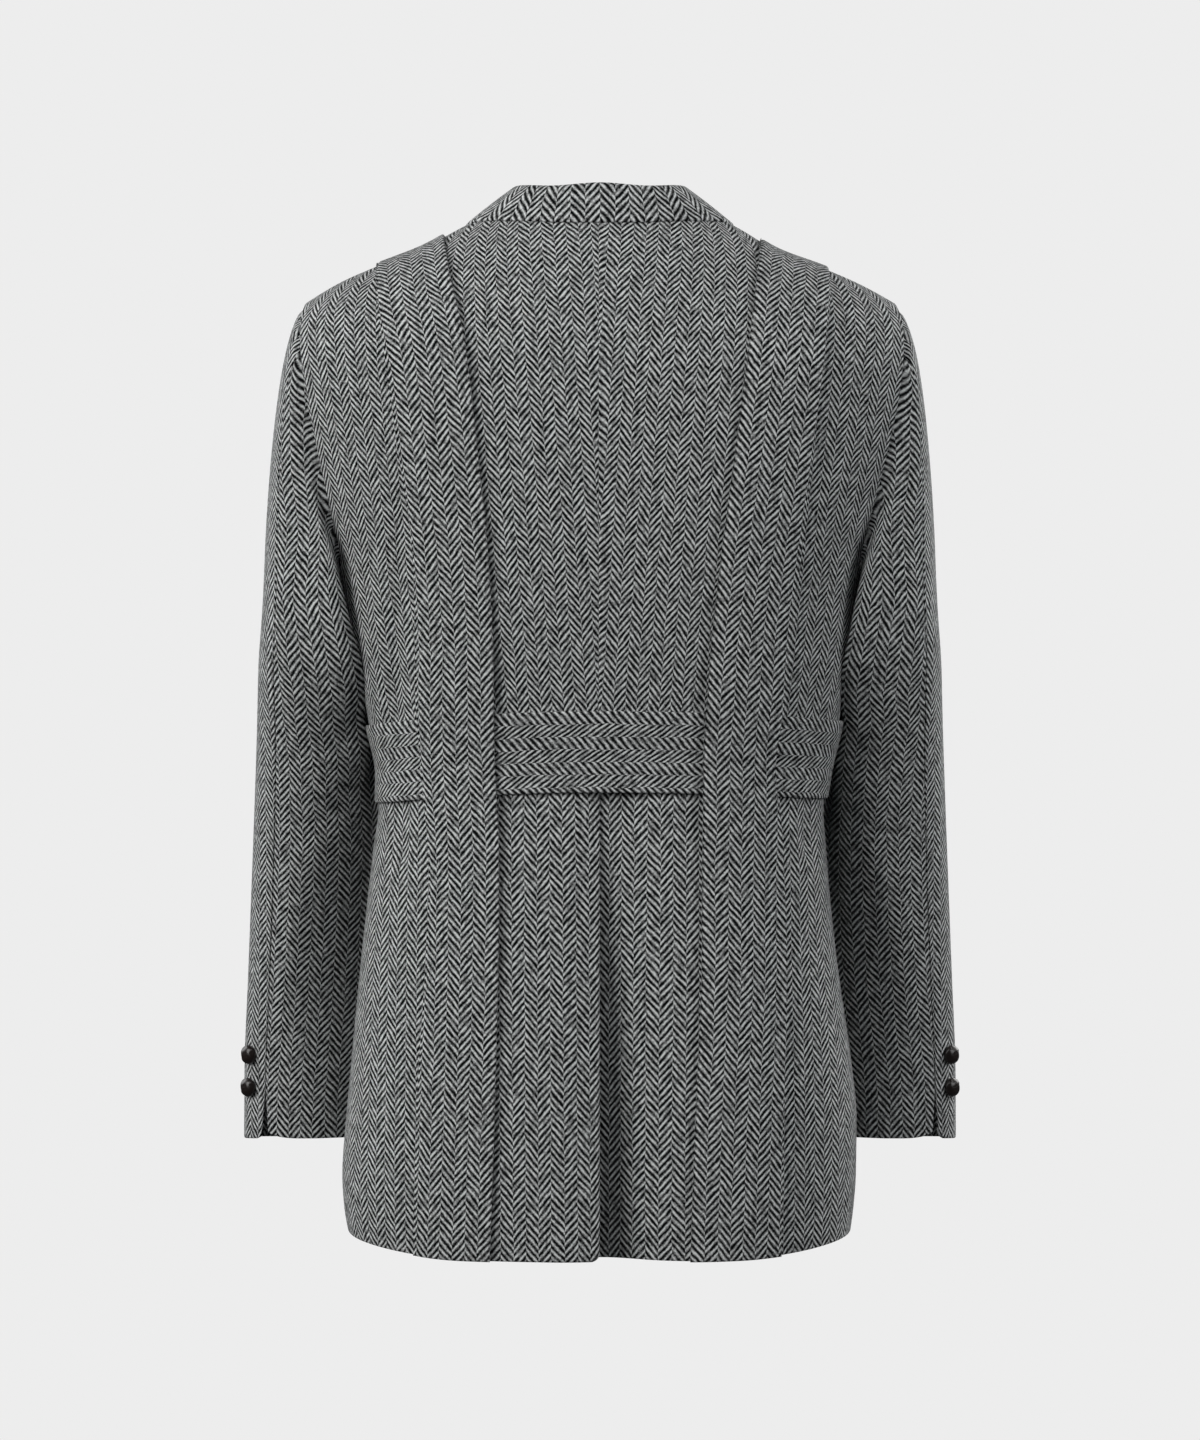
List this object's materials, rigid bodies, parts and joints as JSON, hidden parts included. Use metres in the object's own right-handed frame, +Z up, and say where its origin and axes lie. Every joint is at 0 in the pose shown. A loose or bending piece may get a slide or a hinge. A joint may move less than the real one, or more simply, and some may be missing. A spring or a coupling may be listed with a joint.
{
  "type": "norfolk jacket",
  "caption": "Filled-out herringbone tweed jacket with a belted back, applied back straps, a centre vent, notch lapels and two-piece sleeves with open cuffs.",
  "frame": {"origin": "middle of the neck base, where the wearer's neck and shoulders carry the jacket", "axes": "+Z up the wearer, -Y the wearer's front, +X the wearer's left"},
  "size_m": [0.5436, 0.2488, 0.7747],
  "materials": {
    "tweed": "napped grey herringbone wool tweed, matte",
    "leather_button": "very dark brown, softly polished"
  },
  "bodies": {
    "root": {"back_left": "tweed", "back_right": "tweed", "front_left": "tweed", "front_right": "tweed", "lapel_left": "tweed", "lapel_right": "tweed", "collar": "tweed", "strap_left": "tweed", "strap_right": "tweed", "belt": "tweed", "sleeve_left_upper": "tweed", "sleeve_left_under": "tweed", "sleeve_right_upper": "tweed", "sleeve_right_under": "tweed", "cuff_button_left_upper": "leather_button", "cuff_button_left_lower": "leather_button", "cuff_button_right_upper": "leather_button", "cuff_button_right_lower": "leather_button", "front_button_upper": "leather_button", "front_button_middle": "leather_button", "front_button_lower": "leather_button"}
  },
  "joints": []
}
